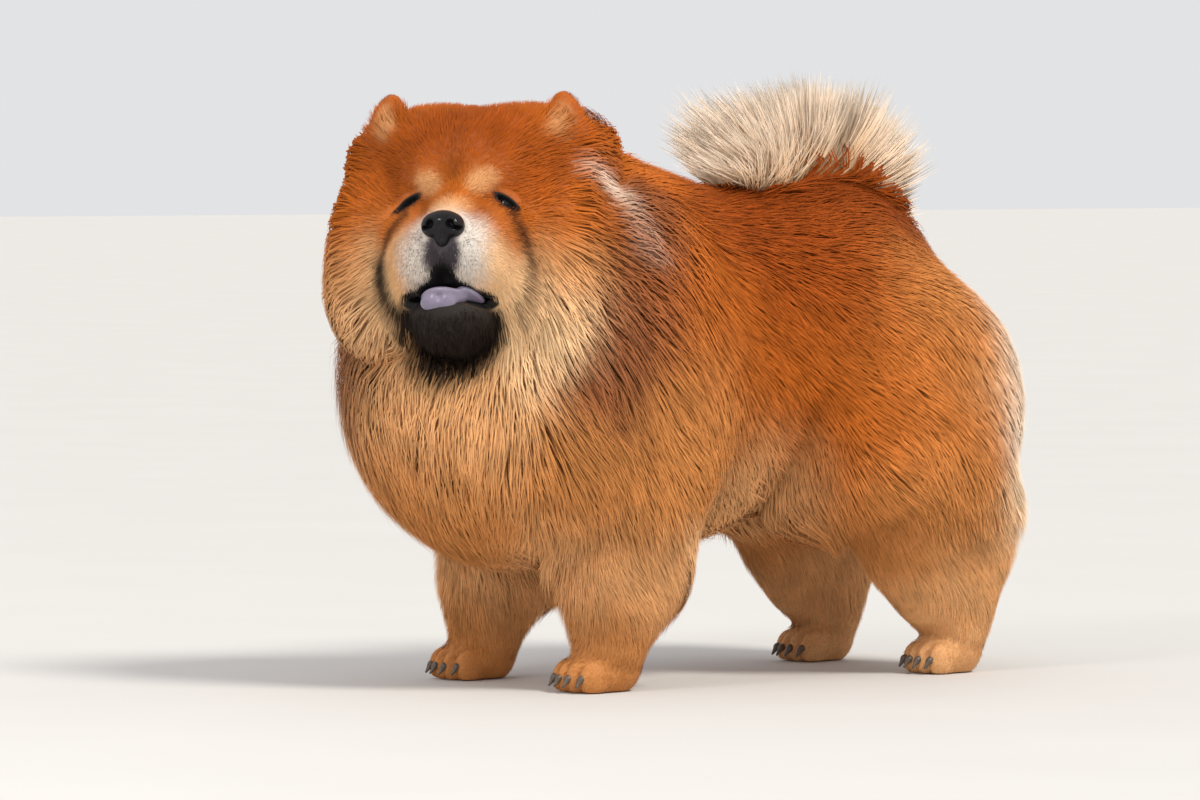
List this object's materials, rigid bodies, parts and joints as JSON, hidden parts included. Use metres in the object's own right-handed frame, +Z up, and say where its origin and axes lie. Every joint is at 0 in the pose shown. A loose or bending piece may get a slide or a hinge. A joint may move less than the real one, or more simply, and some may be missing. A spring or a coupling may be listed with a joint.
{
  "type": "chow chow",
  "caption": "Life-size chow chow standing still on four feet, head turned to its left, with a deep ruff, an open mouth and a plumed tail over its back.",
  "frame": {"origin": "middle of the model's box, on the floor that the four soles stand on", "axes": "+Z up, the dog faces -Y and its left side is at +X"},
  "size_m": [0.496, 0.844, 0.6899],
  "materials": {
    "red_coat": "thick red coat, deeper on the saddle",
    "gold_coat": "golden red coat of the legs",
    "cream_coat": "long cream hair",
    "dark_coat": "short dark hair of the chin",
    "nose_leather": "wet black leather",
    "tongue": "damp blue-grey skin",
    "eye": "wet dark brown",
    "horn": "dark horn"
  },
  "bodies": {
    "root": {"ear_left": "red_coat", "ear_right": "red_coat", "eye_left": "eye", "eye_right": "eye", "foreleg_left": "gold_coat", "foreleg_right": "gold_coat", "forepaw_left": "gold_coat", "forepaw_left_claw_1": "horn", "forepaw_left_claw_2": "horn", "forepaw_left_claw_3": "horn", "forepaw_left_claw_4": "horn", "forepaw_right": "gold_coat", "forepaw_right_claw_1": "horn", "forepaw_right_claw_2": "horn", "forepaw_right_claw_3": "horn", "forepaw_right_claw_4": "horn", "head": "red_coat", "hindleg_left": "gold_coat", "hindleg_right": "gold_coat", "hindpaw_left": "gold_coat", "hindpaw_left_claw_1": "horn", "hindpaw_left_claw_2": "horn", "hindpaw_left_claw_3": "horn", "hindpaw_left_claw_4": "horn", "hindpaw_right": "gold_coat", "hindpaw_right_claw_1": "horn", "hindpaw_right_claw_2": "horn", "hindpaw_right_claw_3": "horn", "hindpaw_right_claw_4": "horn", "jaw": "dark_coat", "neck": "red_coat", "nose": "nose_leather", "tail": "cream_coat", "tongue": "tongue", "torso": "red_coat"}
  },
  "joints": []
}
